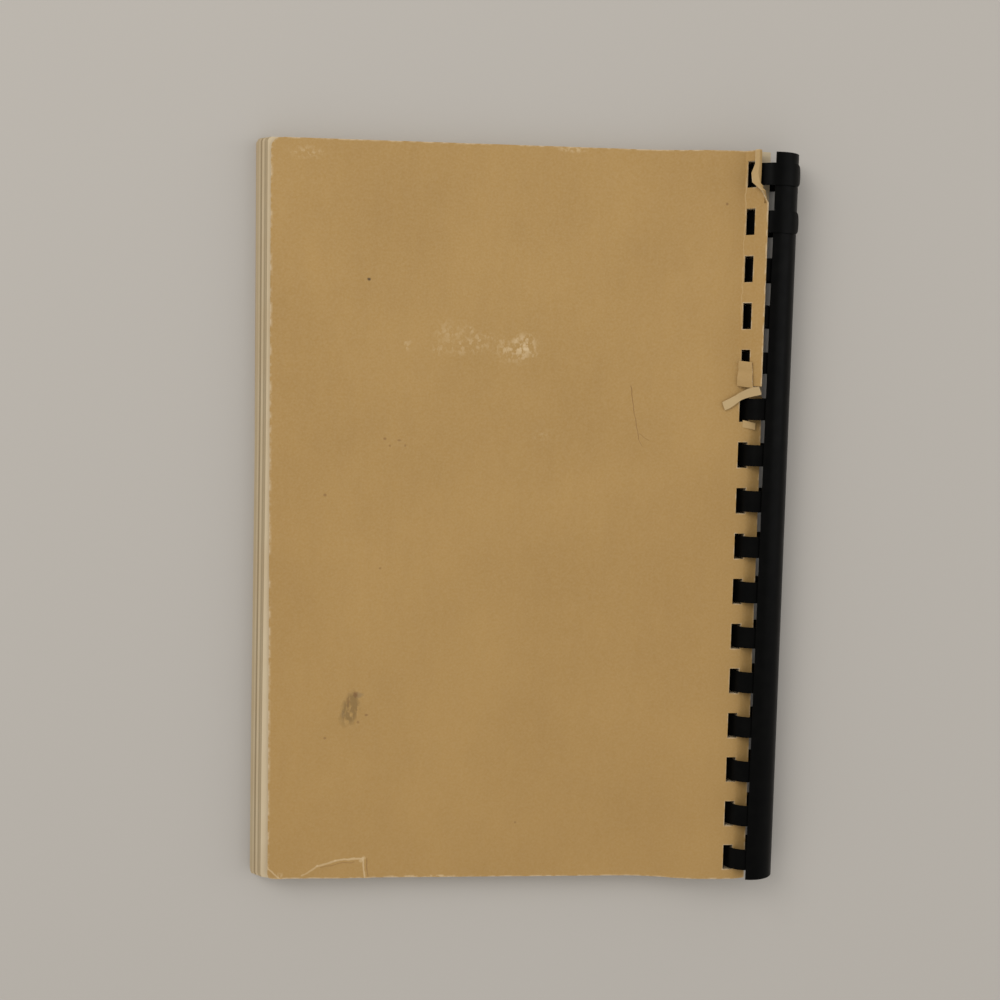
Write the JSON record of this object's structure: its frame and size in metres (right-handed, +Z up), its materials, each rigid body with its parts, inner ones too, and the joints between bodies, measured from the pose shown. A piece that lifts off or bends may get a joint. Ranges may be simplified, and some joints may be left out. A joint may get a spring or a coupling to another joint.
{
  "type": "comb-bound paperback book",
  "caption": "Paperback book with plain tan card covers, held by a black plastic comb binding; it lies flat with its worn back cover up and the bound side on the right.",
  "frame": {"origin": "under the middle of the whole book, on the surface it lies on", "axes": "+X towards the bound side, +Y towards the head of the sheets, +Z up out of the back cover"},
  "size_m": [0.1669, 0.2286, 0.0173],
  "materials": {
    "cover_card": "matte",
    "leaf_paper": "matte",
    "comb_plastic": "satin"
  },
  "bodies": {
    "leaves": {"page_block": "leaf_paper"},
    "comb": {"binding_comb": "comb_plastic"},
    "back": {"back_cover": "cover_card"},
    "front": {"front_cover": "cover_card"}
  },
  "joints": [
    {"name": "comb_turn", "type": "hinge", "parent": "leaves", "child": "comb", "pos_m": [0.07485, 0, 0.008], "axis": [0, 1, 0], "range_deg": [0, 45]},
    {"name": "back_cover_open", "type": "hinge", "parent": "comb", "child": "back", "pos_m": [0.07485, 0, 0.008], "axis": [0, 1, 0], "range_deg": [0, 40]},
    {"name": "front_cover_open", "type": "hinge", "parent": "leaves", "child": "front", "pos_m": [0.07485, 0, 0.008], "axis": [0, -1, 0], "range_deg": [0, 54]}
  ]
}
